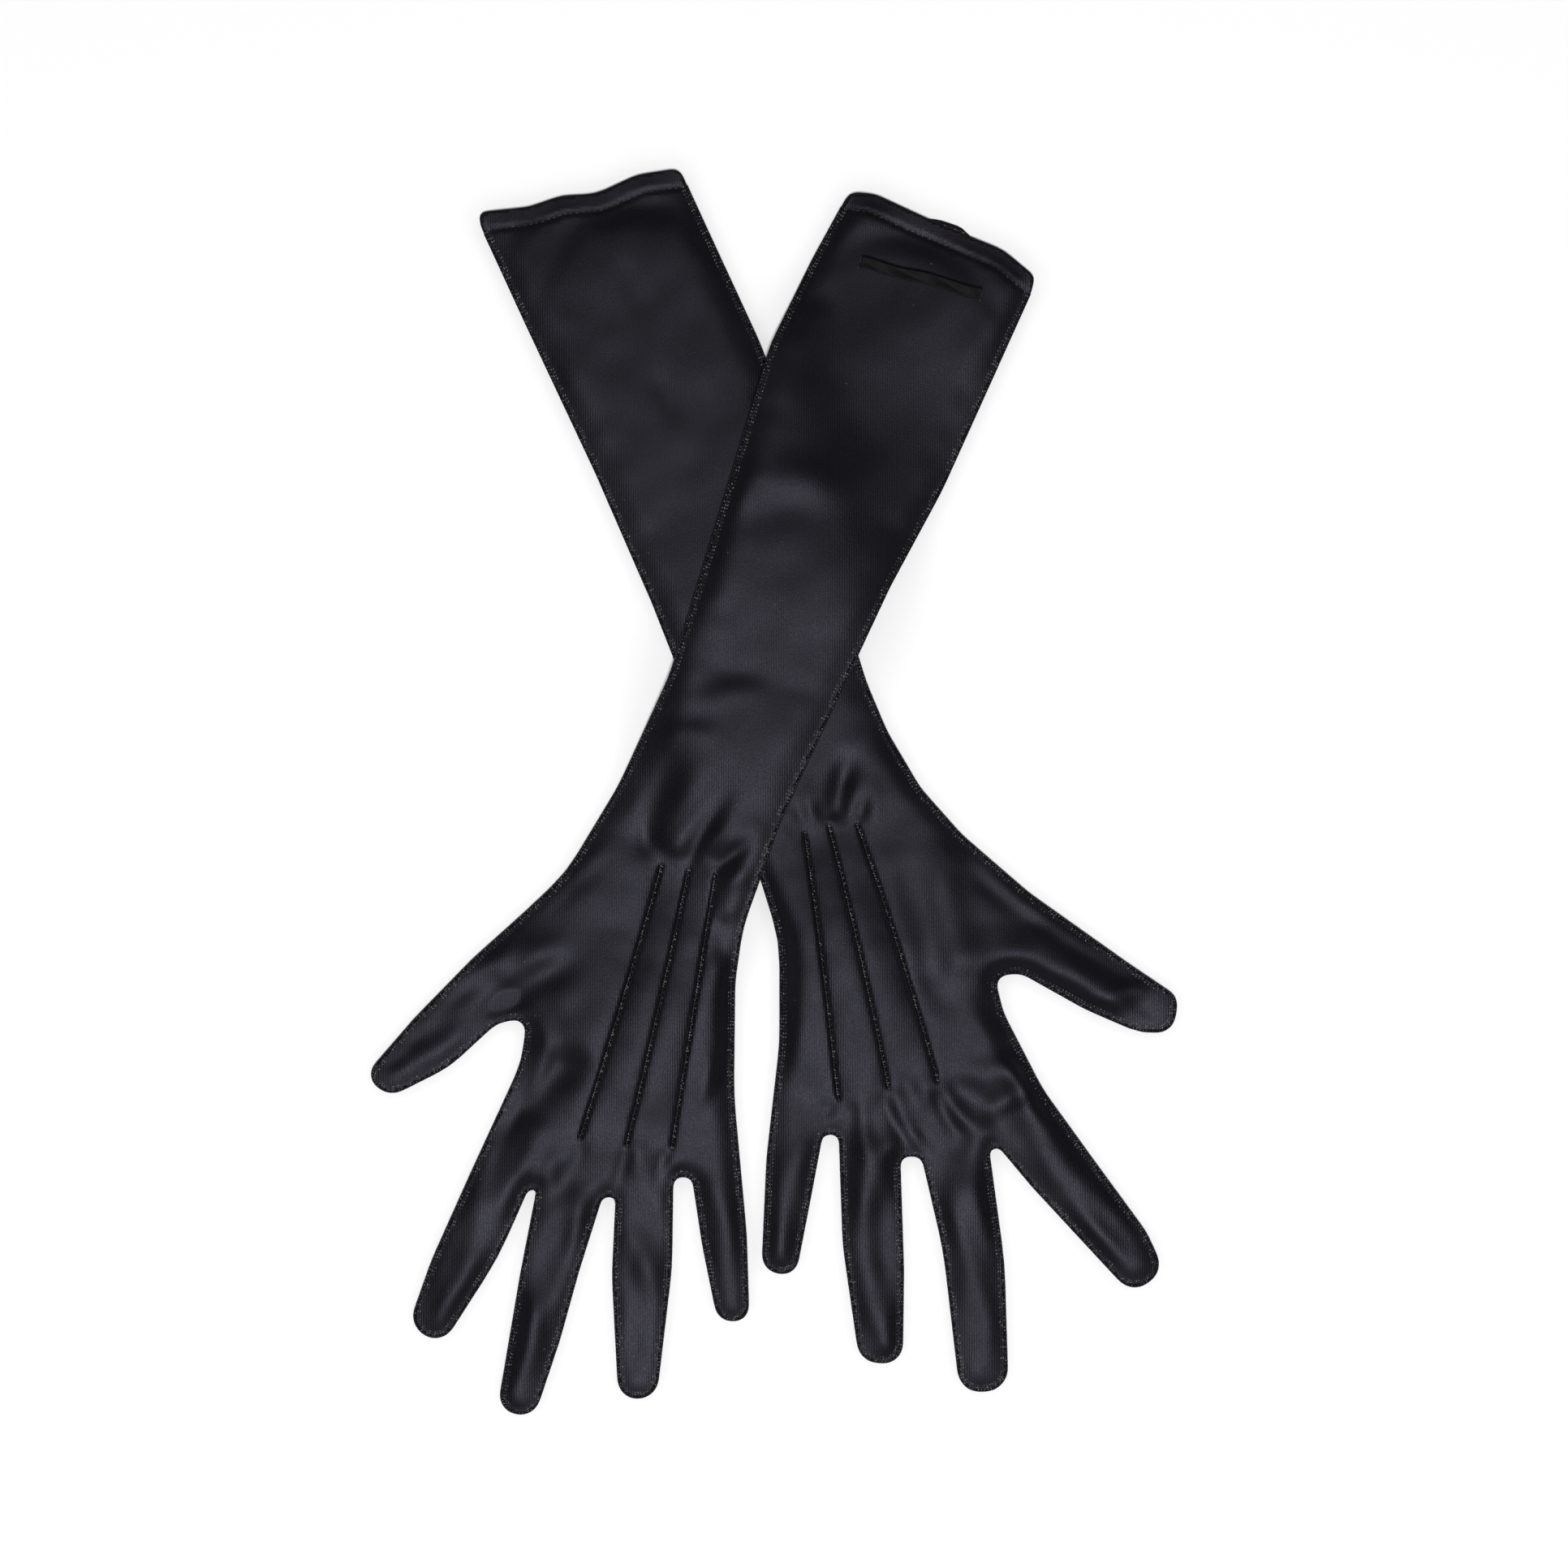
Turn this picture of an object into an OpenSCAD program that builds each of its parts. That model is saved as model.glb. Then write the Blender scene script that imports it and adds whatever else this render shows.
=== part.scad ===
// A pair of elbow-length opera gloves, laid flat and crossed in an X.
// The right glove lies on the table, palm down. The left glove lies over it,
// palm down, and is draped over the right glove's arm where the two cross.
// Each glove is a back panel and a palm panel, whipped together round the edge.
// +X is to the right, +Y towards the cuffs, +Z up from the table.

/* [Cloth] */
// Thickness of each cloth panel
cloth_t = 0.7; // [0.4:0.1:0.9]
// Height of the hollow between the palm panel and the back panel
hollow_h = 4.8; // [4.6:0.1:6]
// Extra thickness of the turned-in hem at the mouth, inside each panel
hem_t = 0.3; // [0.1:0.05:0.3]
// Depth of the turned-in hem, down the arm
hem_depth = 8; // [5:0.5:12]

/* [Edge seam] */
// Width of the whipped seam that closes the panels' edges
seam_w = 1.2; // [0.8:0.1:1.5]

/* [Crossing] */
// Clear height between the two gloves where they cross
crossing_gap = 0.5; // [0.4:0.1:2]
// Length over which the upper glove comes down to the table
crossing_ramp = 26; // [20:1:30]
// Half the width of the level stretch that lies on the lower arm
crossing_half = 41; // [40:1:44]

/* [Thread] */
// Width of a stitched line
thread_w = 0.6; // [0.3:0.1:1]
// How far a stitched line stands proud of the cloth
thread_h = 0.3; // [0.2:0.05:0.3]
// Length of the small thread bars at the finger forks
fork_tack_len = 3; // [2:0.5:5]

/* [Points] */
// Width of a point, the stitched ridge on the back of the hand
point_w = 1.4; // [1:0.1:2]
// Height of a point above the back panel
point_h = 0.5; // [0.3:0.1:0.8]

/* [Keeper loop] */
// Length of the ribbon between its two tacks
loop_len = 48; // [40:1:50]
// Width of the ribbon
loop_w = 4.6; // [3:0.2:6]
// Thickness of the ribbon
loop_t = 0.6; // [0.4:0.1:0.8]
// Clear height under the ribbon, and clear length at each of its ends
loop_gap = 0.35; // [0.3:0.05:0.5]
// Length of the thread tack at each end
loop_tack_len = 4; // [3:0.5:5]

/* [Label] */
// Length of the woven label, along the cuff
label_len = 12; // [8:1:14]
// Width of the woven label, down the arm
label_w = 8; // [6:1:12]
// Thickness of the woven label
label_t = 0.3; // [0.2:0.05:0.35]

/* [Hidden] */
// Largest turn between two points of a rounded corner, in degrees
ARC_STEP = 18;
// Taller than the whole pair
TALL = 40;
// Wider than a cuff and deeper than a hem
CUFF_ZONE = [110, 60];
// Longer than the whole pair
LONG = 900;
// Straight steps in each ramp of the crossing
RAMP_STEPS = 8;
// Straight steps in each point
POINT_STEPS = 6;

BLACK = "#242328";
DARK = "#1b1b20";
THREAD = "#3b3b46";
GOLD = "#9c7a35";

glove_h = hollow_h + 2 * cloth_t;
back_z = cloth_t + hollow_h;
// The middle of each panel's cloth, into which the hem is joined
mid_palm = cloth_t / 2;
mid_back = back_z + cloth_t / 2;
crossing_lift = glove_h + crossing_gap;

// The lower arm under the crossing: a point on its middle line, and its slant
under_arm_at = [17, 18];
under_arm_slant = 22;

// Each mouth: the middle of the cuff, the arm's slant there, and the clear width
LEFT_MOUTH = [[65.5, 216], -24.5, 76];
RIGHT_MOUTH = [[-75, 232.5], 20.5, 76];
// How far the mouth's opening reaches down through the seam
mouth_cut = 14;
// Clear width left between the hem and the edge seam
hem_side_gap = 0.4;
// How far above the hem's edge its stitches run
hem_stitch_in = 1.2;

// Outlines, anticlockwise from above: x, y and the radius of the corner.
// The left glove's cuff, from its little-finger corner to its thumb corner
LEFT_CUFF = [
    [101.5, 199.5, 3], [89, 210, 20], [76.5, 215, 20], [60, 222, 30],
    [39.5, 231.5, 12], [29.5, 232.5, 5]
];
// The same cuff on the palm panel, which rises behind the label
LEFT_PALM_CUFF = [
    [101.5, 199.5, 3], [89, 210, 20], [77, 214.5, 3], [73, 218.8, 5],
    [64.5, 221.7, 6], [60, 222, 12], [39.5, 231.5, 12], [29.5, 232.5, 5]
];
// From the thumb corner round the thumb and the fingers to the other corner
LEFT_HAND = [
    [15, 206, 60], [-1, 173, 60], [-22, 104, 90], [-40, 45, 90], [-60, 2, 90],
    [-80.5, -32, 60], [-97, -47.5, 40], [-116.5, -65, 60], [-139, -88, 60],
    [-158.5, -110.5, 6], [-149, -118.5, 8], [-126, -107, 40], [-107.5, -90, 10],
    [-95.5, -87.5, 6], [-97.5, -105, 40], [-117.5, -148.5, 100],
    [-132.5, -182, 100], [-141.5, -207.5, 9], [-128.5, -214.5, 9],
    [-107, -181, 120], [-95.5, -155, 1.5], [-91.5, -153.5, 1.5],
    [-98, -187, 150], [-107, -240, 8], [-93, -243, 8], [-83, -213, 60],
    [-75.5, -186, 60], [-66.5, -157.5, 2.5], [-61, -157, 2], [-62.5, -188, 100],
    [-60, -235.5, 8], [-45.5, -235.5, 8], [-39.5, -185, 120], [-39, -149.5, 3.5],
    [-31.5, -149.5, 3.5], [-27.5, -176, 80], [-21.5, -205.5, 6.5],
    [-9.5, -205.5, 6.5], [-10.5, -172, 150], [-15.5, -118, 150],
    [-15, -74, 60], [-12, -53, 60],
    [3, -11, 90], [45, 79, 90], [65.5, 117, 120], [100, 193.5, 3]
];

// The right glove's cuff, from its thumb corner to its little-finger corner
RIGHT_CUFF = [
    [-36.5, 241.5, 4], [-53, 239, 20], [-69, 231.5, 20], [-82, 231, 20],
    [-95, 226.5, 20], [-114.5, 224.5, 4]
];
RIGHT_HAND = [
    [-113.5, 219, 8], [-96, 181, 90], [-69, 123.5, 120], [-47, 73, 100],
    [-5, -34, 60], [2.5, -58, 60], [2.5, -98, 90], [-2.5, -142, 90],
    [-4.5, -186, 7], [8.5, -188, 6], [14.5, -157, 90], [19, -133, 3],
    [25.5, -133, 3], [27, -176, 100], [33.5, -221, 8], [50, -222.5, 8],
    [50.5, -186, 150], [49, -141.5, 3.5], [57.5, -141.5, 4], [66, -178, 150],
    [72.5, -233.5, 8.5], [91, -232, 8.5], [89.5, -183, 150], [83.5, -139, 2],
    [87.5, -138, 2], [100.5, -153.5, 60], [139, -195, 8], [151.5, -186, 8],
    [144.5, -171, 25], [124, -143, 60], [104.5, -116, 60], [89, -86, 30],
    [85.5, -71.5, 5], [96, -70.5, 8], [121, -84.5, 60], [143, -94, 40],
    [155, -93, 7], [157, -80, 6], [137, -66.5, 60], [99, -39.5, 60],
    [73, -17, 40], [57, 1, 25], [44, 23, 40], [36, 42, 60], [-4, 171, 100],
    [-25.5, 217.5, 80]
];

// Points: where each ridge starts, bends and ends on the back of the hand
LEFT_POINTS = [
    [[-43.5, -29], [-58.5, -81], [-75, -134.5]],
    [[-33, -30.5], [-44.5, -84], [-57, -137]],
    [[-22.5, -32], [-31, -85], [-39.5, -138]]
];
RIGHT_POINTS = [
    [[32.5, -13], [48.5, -61], [63.5, -112]],
    [[21.5, -13.5], [33.5, -63], [44.5, -115]],
    [[12, -16], [19, -67], [25, -119.5]]
];

// Thread bars at the forks of the thumb and the fingers, and their slants
LEFT_FORKS = [
    [-94, -92, -45], [-93, -149.5, -15], [-63.5, -152.5, -6], [-35, -144.5, 3]
];
RIGHT_FORKS = [
    [84, -75, 37], [85.5, -134.5, 15], [52.5, -136, 7], [22, -129, -2]
];

// Where each length of the edge seam meets the next, on top of the forks: the
// tips of the thumb and the fingers, and their slants
LEFT_TIPS = [
    [-154, -115, -52], [-135, -211, -27], [-100, -241, -14], [-53, -236, -3],
    [-15.5, -206, 6]
];
RIGHT_TIPS = [
    [156, -86.5, 65], [145.5, -190.5, 45], [82, -233, 7], [42, -222, 4],
    [2, -187, -5]
];
// Clear space between two lengths of the edge seam, and how far its cut runs
seam_gap = 0.1;
seam_cut = 12;

// The keeper loop's middle and slant
loop_at = [57, 198.5];
loop_slant = -15;
loop_z = glove_h + loop_gap;

// The label's middle and slant
label_at = [67.7, 215];
label_slant = -20;

// ---- Outline helpers ----

function unit(v) = v / norm(v);
function left_of(v) = [-v.y, v.x];
function xy(p) = [p.x, p.y];

// The turn from angle a to angle b, between -180 and 180
function turn(a, b) =
    let(t = b - a)
    t > 180 ? t - 360 : t < -180 ? t + 360 : t;

// Corner b of an outline through a, b and c, rounded to radius r where it fits
function rounded(a, b, c, r) =
    let(
        u = unit(a - b),
        v = unit(c - b),
        half = acos(u * v) / 2,
        room = 0.48 * min(norm(a - b), norm(c - b)) * tan(half),
        radius = min(r, room),
        centre = b + unit(u + v) * radius / sin(half),
        start = b + u * radius / tan(half) - centre,
        end = b + v * radius / tan(half) - centre,
        first = atan2(start.y, start.x),
        sweep = turn(first, atan2(end.y, end.x)),
        steps = max(2, ceil(abs(sweep) / ARC_STEP))
    )
    [for (i = [0:steps])
        let(angle = first + sweep * i / steps)
        centre + radius * [cos(angle), sin(angle)]];

// A closed outline with every corner rounded
function smooth(corners) =
    let(n = len(corners))
    [for (i = [0:n - 1])
        each rounded(
            xy(corners[(i + n - 1) % n]),
            xy(corners[i]),
            xy(corners[(i + 1) % n]),
            corners[i].z)];

// Every point of a closed anticlockwise outline moved inwards by w
function inset(points, w) =
    let(n = len(points))
    [for (i = [0:n - 1])
        let(
            before = left_of(unit(points[i] - points[(i + n - 1) % n])),
            after = left_of(unit(points[(i + 1) % n] - points[i])),
            mitre = unit(before + after)
        )
        points[i] + mitre * w / (mitre * before)];

function backwards(points) = [for (i = [len(points) - 1:-1:0]) points[i]];

// Down the arm from a mouth
function down_arm(mouth) = [sin(mouth[1]), -cos(mouth[1])];

left_outline = smooth(concat(LEFT_CUFF, LEFT_HAND));
left_palm_outline = smooth(concat(LEFT_PALM_CUFF, LEFT_HAND));
right_outline = smooth(concat(RIGHT_CUFF, RIGHT_HAND));

// ---- Flat shapes ----

// A rectangle of the given width and length, in line with the arm at its mouth
module at_mouth(mouth, size) {
    translate(mouth[0]) rotate(mouth[1]) square(size, center = true);
}

// The ring that the edge seam fills, open at the mouth and cut at each joint
module seam_ring(outline, mouth, joints) {
    difference() {
        polygon(outline);
        polygon(inset(outline, seam_w));
        at_mouth(mouth, [mouth[2], 2 * mouth_cut]);
        for (j = joints)
            translate(xy(j)) rotate(j.z) square([seam_gap, seam_cut], center = true);
    }
}

// The strip between the side seams that lies from near to far below the cuff
module cuff_strip(outline, mouth, near, far) {
    intersection() {
        at_mouth(mouth, CUFF_ZONE);
        polygon(inset(outline, seam_w + hem_side_gap));
        difference() {
            translate(near * down_arm(mouth)) polygon(outline);
            translate(far * down_arm(mouth)) polygon(outline);
        }
    }
}

module hem_strip(outline, mouth) {
    cuff_strip(outline, mouth, 0, hem_depth);
}

module hem_stitches(outline, mouth) {
    near = hem_depth - hem_stitch_in;
    cuff_strip(outline, mouth, near, near + thread_w);
}

// A ridge of even width along the curve from a to c that bends towards b
module ridge(a, b, c, w) {
    pull = 2 * b - (a + c) / 2;
    function along(t) = (1 - t) * (1 - t) * a + 2 * t * (1 - t) * pull + t * t * c;
    function across(t) = left_of(unit((1 - t) * (pull - a) + t * (c - pull)));
    steps = [for (i = [0:POINT_STEPS]) i / POINT_STEPS];
    polygon(concat(
        [for (t = steps) along(t) - across(t) * w / 2],
        backwards([for (t = steps) along(t) + across(t) * w / 2])));
}

module fork_bars(forks) {
    for (f = forks)
        translate(xy(f)) rotate(f.z) square([thread_w, fork_tack_len], center = true);
}

// ---- Layers ----

// The flat shape as a level layer from z = low to z = high
module laid(low, high) {
    translate([0, 0, low]) linear_extrude(high - low) children();
}

// How high the upper glove is lifted at distance d from the lower arm's middle
function lift(d) =
    let(
        way = (crossing_half + crossing_ramp - abs(d)) / crossing_ramp,
        s = max(0, min(1, way))
    )
    crossing_lift * s * s * (3 - 2 * s);

// The distances at which the lift is worked out, from one side to the other
side_steps = [for (i = [0:RAMP_STEPS])
    crossing_half + crossing_ramp * (1 - i / RAMP_STEPS)];
lift_steps = concat(
    [-LONG / 2],
    [for (d = side_steps) -d],
    backwards(side_steps),
    [LONG / 2]);

// The flat shape as a layer that is draped over the lower arm
module draped(low, high) {
    intersection() {
        linear_extrude(TALL) children();
        translate(under_arm_at) rotate([90, 0, under_arm_slant])
            linear_extrude(LONG, center = true)
                polygon(concat(
                    [for (d = lift_steps) [d, lift(d) + low]],
                    backwards([for (d = lift_steps) [d, lift(d) + high]])));
    }
}

// ---- The right glove, underneath ----

module right_palm_panel() {
    color(BLACK) difference() {
        union() {
            laid(0, cloth_t) polygon(right_outline);
            laid(mid_palm, cloth_t + hem_t) hem_strip(right_outline, RIGHT_MOUTH);
        }
        laid(-1, thread_h) hem_stitches(right_outline, RIGHT_MOUTH);
    }
}

module right_back_panel() {
    color(BLACK) union() {
        laid(back_z, glove_h) polygon(right_outline);
        laid(back_z - hem_t, mid_back) hem_strip(right_outline, RIGHT_MOUTH);
    }
}

module right_edge_seam() {
    color(THREAD) laid(cloth_t, back_z)
        seam_ring(right_outline, RIGHT_MOUTH, concat(RIGHT_TIPS, RIGHT_FORKS));
}

module right_hem_stitching() {
    color(THREAD) {
        laid(0, thread_h) hem_stitches(right_outline, RIGHT_MOUTH);
        laid(glove_h, glove_h + thread_h) hem_stitches(right_outline, RIGHT_MOUTH);
    }
}

module right_point(i) {
    p = RIGHT_POINTS[i];
    color(THREAD) laid(glove_h, glove_h + point_h) ridge(p[0], p[1], p[2], point_w);
}

module right_fork_tacks() {
    color(THREAD) laid(glove_h, glove_h + thread_h) fork_bars(RIGHT_FORKS);
}

// ---- The left glove, on top ----

module left_palm_panel() {
    color(BLACK) difference() {
        union() {
            draped(0, cloth_t) polygon(left_palm_outline);
            laid(mid_palm, cloth_t + hem_t) hem_strip(left_outline, LEFT_MOUTH);
        }
        laid(-1, thread_h) hem_stitches(left_outline, LEFT_MOUTH);
    }
}

module left_back_panel() {
    color(BLACK) union() {
        draped(back_z, glove_h) polygon(left_outline);
        laid(back_z - hem_t, mid_back) hem_strip(left_outline, LEFT_MOUTH);
    }
}

module left_edge_seam() {
    color(THREAD) draped(cloth_t, back_z)
        seam_ring(left_outline, LEFT_MOUTH, concat(LEFT_TIPS, LEFT_FORKS));
}

module left_hem_stitching() {
    color(THREAD) {
        laid(0, thread_h) hem_stitches(left_outline, LEFT_MOUTH);
        laid(glove_h, glove_h + thread_h) hem_stitches(left_outline, LEFT_MOUTH);
    }
}

module left_point(i) {
    p = LEFT_POINTS[i];
    color(THREAD) draped(glove_h, glove_h + point_h) ridge(p[0], p[1], p[2], point_w);
}

module left_fork_tacks() {
    color(THREAD) draped(glove_h, glove_h + thread_h) fork_bars(LEFT_FORKS);
}

// ---- The label inside the left cuff ----

module left_label() {
    color(GOLD) laid(cloth_t + hem_t, cloth_t + hem_t + label_t)
        translate(label_at) rotate(label_slant)
            square([label_len, label_w], center = true);
}

module left_label_stitching() {
    low = cloth_t + hem_t + label_t;
    color(THREAD) laid(low, low + thread_h)
        translate(label_at) rotate(label_slant)
            for (side = [-1, 1])
                translate([side * (label_len / 2 - thread_w), 0])
                    square([thread_w, label_w - 2 * thread_w], center = true);
}

// ---- The keeper loop on the left cuff ----

module left_keeper_loop() {
    color(DARK) laid(loop_z, loop_z + loop_t)
        translate(loop_at) rotate(loop_slant)
            square([loop_len, loop_w], center = true);
}

module left_loop_tacks() {
    from_middle = loop_len / 2 + loop_gap + thread_w / 2;
    color(THREAD) laid(glove_h, loop_z + loop_t)
        translate(loop_at) rotate(loop_slant)
            for (side = [-1, 1])
                translate([side * from_middle, 0])
                    square([thread_w, loop_tack_len], center = true);
}

right_palm_panel();
right_back_panel();
right_edge_seam();
right_hem_stitching();
right_point(0);  // right_point_index
right_point(1);  // right_point_middle
right_point(2);  // right_point_little
right_fork_tacks();
left_palm_panel();
left_back_panel();
left_edge_seam();
left_hem_stitching();
left_point(0);  // left_point_index
left_point(1);  // left_point_middle
left_point(2);  // left_point_little
left_fork_tacks();
left_label();
left_label_stitching();
left_keeper_loop();
left_loop_tacks();
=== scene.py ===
"""A pair of elbow-length satin gloves, laid crossed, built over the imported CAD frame."""

import math

import bmesh
import bpy
import numpy as np
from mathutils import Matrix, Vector, noise
from mathutils.bvhtree import BVHTree
from mathutils.geometry import delaunay_2d_cdt


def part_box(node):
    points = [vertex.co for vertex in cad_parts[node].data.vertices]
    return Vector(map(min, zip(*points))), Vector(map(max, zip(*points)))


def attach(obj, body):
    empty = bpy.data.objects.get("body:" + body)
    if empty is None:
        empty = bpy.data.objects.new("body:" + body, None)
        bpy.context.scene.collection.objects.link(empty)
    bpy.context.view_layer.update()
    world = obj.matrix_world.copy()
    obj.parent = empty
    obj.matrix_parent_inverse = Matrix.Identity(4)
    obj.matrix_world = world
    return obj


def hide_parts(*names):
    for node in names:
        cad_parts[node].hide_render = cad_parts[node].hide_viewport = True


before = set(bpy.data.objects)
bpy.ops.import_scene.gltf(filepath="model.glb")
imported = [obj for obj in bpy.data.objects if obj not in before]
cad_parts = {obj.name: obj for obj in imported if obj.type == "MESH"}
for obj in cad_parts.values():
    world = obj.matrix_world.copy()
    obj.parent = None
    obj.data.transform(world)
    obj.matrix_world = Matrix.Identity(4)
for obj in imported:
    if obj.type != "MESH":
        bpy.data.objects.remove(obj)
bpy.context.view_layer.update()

MM = 0.001

# ------------ sizes
CELL = 1.25 * MM            # cloth mesh, back panels
PALM_CELL = 2.2 * MM        # cloth mesh, palm panels
SIM_CELL = 2.6 * MM         # cloth mesh while it is simulated
CLOTH = 0.35 * MM           # thickness of one layer of satin
FLOOR_GAP = 0.12 * MM       # palm cloth above the floor
RIM = 1.2 * MM              # height of the sewn edge
CROWN = 2.5 * MM            # height of the arm's cloth away from the edge
FINGER_CROWN = 2.9 * MM     # the same on the hand and the fingers
HAND_DOME = 3.5 * MM        # how much the middle of the hand stands higher
HAND_DOME_WIDTH = 32 * MM
HAND_DOME_LENGTH = 38 * MM
SOFTEN = 7                  # how often each height is averaged with its neighbours
FLANGE = 2.4 * MM           # width of the nearly flat seam allowance inside the edge
FLANGE_RISE = 0.8 * MM      # how much the cloth rises across it
PUFF = 6.0 * MM             # width over which the arm's cloth rises from that allowance
FINGER_PUFF = 6.0 * MM      # the same on the hand and the fingers
TALLEST = 8.5 * MM          # no cloth stands higher than this over what it lies on
FOLD_GAIN = 0.95            # scales every named fold

SIM_SCALE = 10.0            # the simulated cloth is this much larger, where the solver is steadier
SIM_FRAMES = 25
RELIEF_CAP = 1.6 * MM       # limit to what the simulation may add
RELIEF_SHARE = 0.6          # share of its relief that is kept
RELIEF_BLUR = 14            # how often that relief is averaged with its neighbours

LIFT_CELL = 4 * MM          # grid on which the crossing's lift is read
LIFT_BLUR = 16              # times that it is blurred
LIFT_SHARE = 0.86           # the soft gloves press this much closer than the CAD ones

POINTS = ("index", "middle", "little")
SIDES = ("left", "right")

# Rows of stitches: (step, half length, half thickness) in mm, the turn of each stitch in radians,
# and how far the row lies to the left of its line, in mm.
EDGE_ROWS = [(1.3, 0.38, 0.17, 1.05, 0.5), (1.4, 0.38, 0.17, 0.5, 1.45), (1.4, 0.36, 0.16, -0.6, 2.3)]
RIDGE_ROW = (1.05, 0.5, 0.17, 0.75, 0.0)
BESIDE_RIDGE_ROW = (2.1, 0.42, 0.16, 0.1, 0.62)
HEM_ROW = (2.3, 0.75, 0.15, 0.05, 0.0)
CORD = 0.36 * MM            # half thickness of the rolled cloth in the edge seam and the points

LAMP_PLACE = (0.0, -0.5, 2.55)
LAMP_SIZE = 0.6
LAMP_POWER = 51.0
RING_LIGHTS = 12            # weaker lamps in a ring, all turned to the gloves
RING_RADIUS = 1.85
RING_HEIGHT = 0.62
RING_SIZE = 0.8
RING_POWER = 3.3
WORLD_LIGHT = 0.06

# ------------ plan geometry
def merged(node):
    """A CAD node as a bmesh with its doubled corners joined."""
    bm = bmesh.new()
    bm.from_mesh(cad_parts[node].data)
    bmesh.ops.remove_doubles(bm, verts=bm.verts, dist=0.002 * MM)
    bm.normal_update()
    return bm


def chains(links):
    """Closed chains of corners from a table of each corner's two neighbours."""
    found = []
    while links:
        here = next(iter(links))
        chain = []
        while here is not None:
            chain.append(here)
            beside = links.pop(here)
            here = next((v for v in beside if v in links), None)
        found.append(np.array([v.co[:2] for v in chain]))
    return found


def outer_loop(node, facing):
    """The node's outer edge from above, where its wall meets its top (1) or bottom (-1)."""
    bm = merged(node)
    links = {}
    for e in bm.edges:
        z = sorted((f.normal.z * facing for f in e.link_faces), key=abs)
        if len(z) == 2 and abs(z[0]) < 0.1 and z[1] > 0.3:
            for a, b in (e.verts, reversed(e.verts)):
                links.setdefault(a, []).append(b)
    loop = max(chains(links), key=lambda c: np.ptp(c, axis=0).prod())
    bm.free()
    x, y = loop.T
    anticlockwise = np.sum(x * np.roll(y, -1) - np.roll(x, -1) * y) > 0
    return loop if anticlockwise else loop[::-1]


def corner_cut(path, times, closed):
    """The path with its corners cut smooth."""
    for _ in range(times):
        after = np.roll(path, -1, axis=0) if closed else path[1:]
        before = path if closed else path[:-1]
        pairs = np.stack((0.75 * before + 0.25 * after, 0.25 * before + 0.75 * after), 1)
        cut = pairs.reshape(-1, path.shape[1])
        path = cut if closed else np.vstack((path[:1], cut, path[-1:]))
    return path


def even(path, step, closed=False):
    """The path again, as points at even steps along it."""
    whole = np.vstack((path, path[:1])) if closed else np.asarray(path, float)
    run = np.concatenate(([0], np.cumsum(np.linalg.norm(np.diff(whole, axis=0), axis=1))))
    count = max(2, round(run[-1] / step))
    at = np.linspace(0, run[-1], count + 1)
    if closed:
        at = at[:-1]
    return np.stack([np.interp(at, run, whole[:, k]) for k in range(whole.shape[1])], 1)


def smooth_edge(node, facing, step):
    """The node's outer edge with its corners rounded, as points at even steps."""
    rough = even(outer_loop(node, facing), 2.0 * MM, True)
    return even(corner_cut(rough, 2, True), step, True)


def closest(path, spot):
    """The index of the path's point that lies closest to the spot."""
    return int(np.argmin(np.linalg.norm(path - spot, axis=1)))


def tangents(path, closed=False):
    """Unit directions along the path."""
    if closed:
        d = np.roll(path, -1, axis=0) - np.roll(path, 1, axis=0)
    else:
        d = np.gradient(path, axis=0)
    return d / np.linalg.norm(d, axis=1, keepdims=True)


def left_normals(path, closed=False):
    """Unit directions to the left of the path, which is inwards on an anticlockwise loop."""
    t = tangents(path[:, :2], closed)
    return np.stack((-t[:, 1], t[:, 0]), 1)


def inside(xy, loop):
    """Which of the points lie inside the closed loop."""
    hit = np.zeros(len(xy), bool)
    for (x0, y0), (x1, y1) in zip(loop, np.roll(loop, -1, axis=0)):
        if y0 != y1:
            spans = (xy[:, 1] > min(y0, y1)) & (xy[:, 1] <= max(y0, y1))
            cross = x0 + (xy[:, 1] - y0) * (x1 - x0) / (y1 - y0)
            hit ^= spans & (xy[:, 0] < cross)
    return hit


def along_path(xy, path, closed=False):
    """For each point: distance to the path, share of the way along it (0 to 1), and side (+1 left)."""
    ends = np.roll(path, -1, axis=0) if closed else path[1:]
    starts = path if closed else path[:-1]
    run = np.concatenate(([0], np.cumsum(np.linalg.norm(ends - starts, axis=1))))
    best = np.full(len(xy), np.inf)
    share = np.zeros(len(xy))
    side = np.ones(len(xy))
    for k, (a, b) in enumerate(zip(starts, ends)):
        d = b - a
        length = np.hypot(*d)
        rel = xy - a
        t = np.clip(rel @ d / length**2, 0, 1)
        off = rel - t[:, None] * d
        gap = np.hypot(off[:, 0], off[:, 1])
        near = gap < best
        best = np.where(near, gap, best)
        share = np.where(near, (run[k] + t * length) / run[-1], share)
        side = np.where(near, np.sign(d[0] * rel[:, 1] - d[1] * rel[:, 0] + 1e-15), side)
    return best, share, side


def islands(node):
    """The corners of each separate solid in a node, from above."""
    bm = merged(node)
    seen = set()
    found = []
    for v in bm.verts:
        if v in seen:
            continue
        todo = [v]
        part = []
        while todo:
            u = todo.pop()
            if u not in seen:
                seen.add(u)
                part.append(u.co[:2])
                todo += [e.other_vert(u) for e in u.link_edges]
        found.append(np.array(part))
    bm.free()
    return found


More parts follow.
